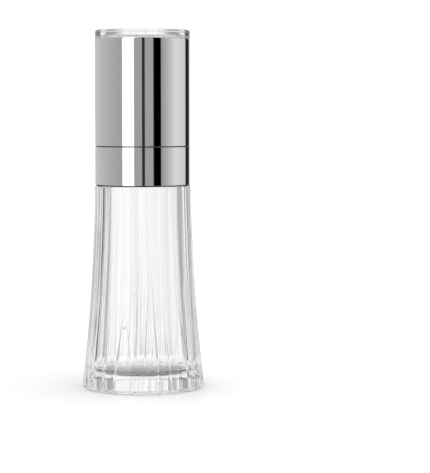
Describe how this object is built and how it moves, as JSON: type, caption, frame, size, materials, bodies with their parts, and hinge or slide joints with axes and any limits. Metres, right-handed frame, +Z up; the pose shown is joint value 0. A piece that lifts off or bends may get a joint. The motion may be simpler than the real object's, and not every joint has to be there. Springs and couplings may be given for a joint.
{
  "type": "pepper mill",
  "caption": "Hand pepper mill with a clear pleated container below and a polished steel head with the grinder on top, closed by a clear lid.",
  "frame": {"origin": "centre of the container's foot, on the surface that the mill stands on", "axes": "+Z up along the mill's axis, from the container's foot to the lid; +X through one pleat ridge and the snap ring's gap"},
  "size_m": [0.0578, 0.0578, 0.1685],
  "materials": {
    "clear_acrylic": "clear, polished",
    "polished_steel": "mirror polish",
    "stainless_steel": "turned, satin",
    "spring_steel": "drawn wire",
    "white_acetal": "moulded, satin",
    "black_nylon": "moulded, fine grain",
    "black_abs": "moulded, satin",
    "ceramic": "fired, matt",
    "brass": "turned",
    "silicone": "translucent grey",
    "black_rubber": "moulded, matt"
  },
  "bodies": {
    "container": {"container": "clear_acrylic", "neck_seal": "silicone"},
    "collar": {"collar_gasket": "black_rubber", "collar_ring": "polished_steel", "collar_core": "white_acetal", "slide_ring": "black_nylon", "shaft_spider": "white_acetal", "grinder_shaft": "stainless_steel", "shaft_nut": "stainless_steel", "head_circlip": "spring_steel", "stop_clip": "spring_steel", "spring_stop": "stainless_steel", "burr_spring": "spring_steel"},
    "rotor": {"inner_burr": "ceramic", "burr_hub": "black_nylon", "thrust_washer": "stainless_steel"},
    "adjuster": {"setting_wheel": "black_nylon", "setting_nut": "brass"},
    "head": {"head_sleeve": "polished_steel", "head_liner": "black_abs", "outer_burr": "ceramic", "burr_retainer": "black_nylon", "retainer_screws": "stainless_steel"},
    "lid": {"lid": "clear_acrylic", "lid_seal": "silicone"}
  },
  "joints": [
    {"name": "refill_pull", "type": "slide", "parent": "container", "child": "collar", "axis": [0, 0, 1], "range_m": [0, 0.04]},
    {"name": "grind_turn", "type": "hinge", "parent": "collar", "child": "head", "pos_m": [0, 0, 0.1144], "axis": [0, 0, 1], "continuous": true},
    {"name": "lid_lift", "type": "slide", "parent": "head", "child": "lid", "axis": [0, 0, 1], "range_m": [0, 0.03]},
    {"name": "burr_slide", "type": "slide", "parent": "collar", "child": "rotor", "axis": [0, 0, 1], "range_m": [-0.00052, 0.00052], "deforming": ["burr_spring"]},
    {"name": "setting_turn", "type": "hinge", "parent": "rotor", "child": "adjuster", "pos_m": [0, 0, 0.1576], "axis": [0, 0, 1], "range_deg": [-270, 270]}
  ],
  "couplings": [
    {"joint": "setting_turn", "follows": "burr_slide", "rad_per_m": 8976}
  ]
}
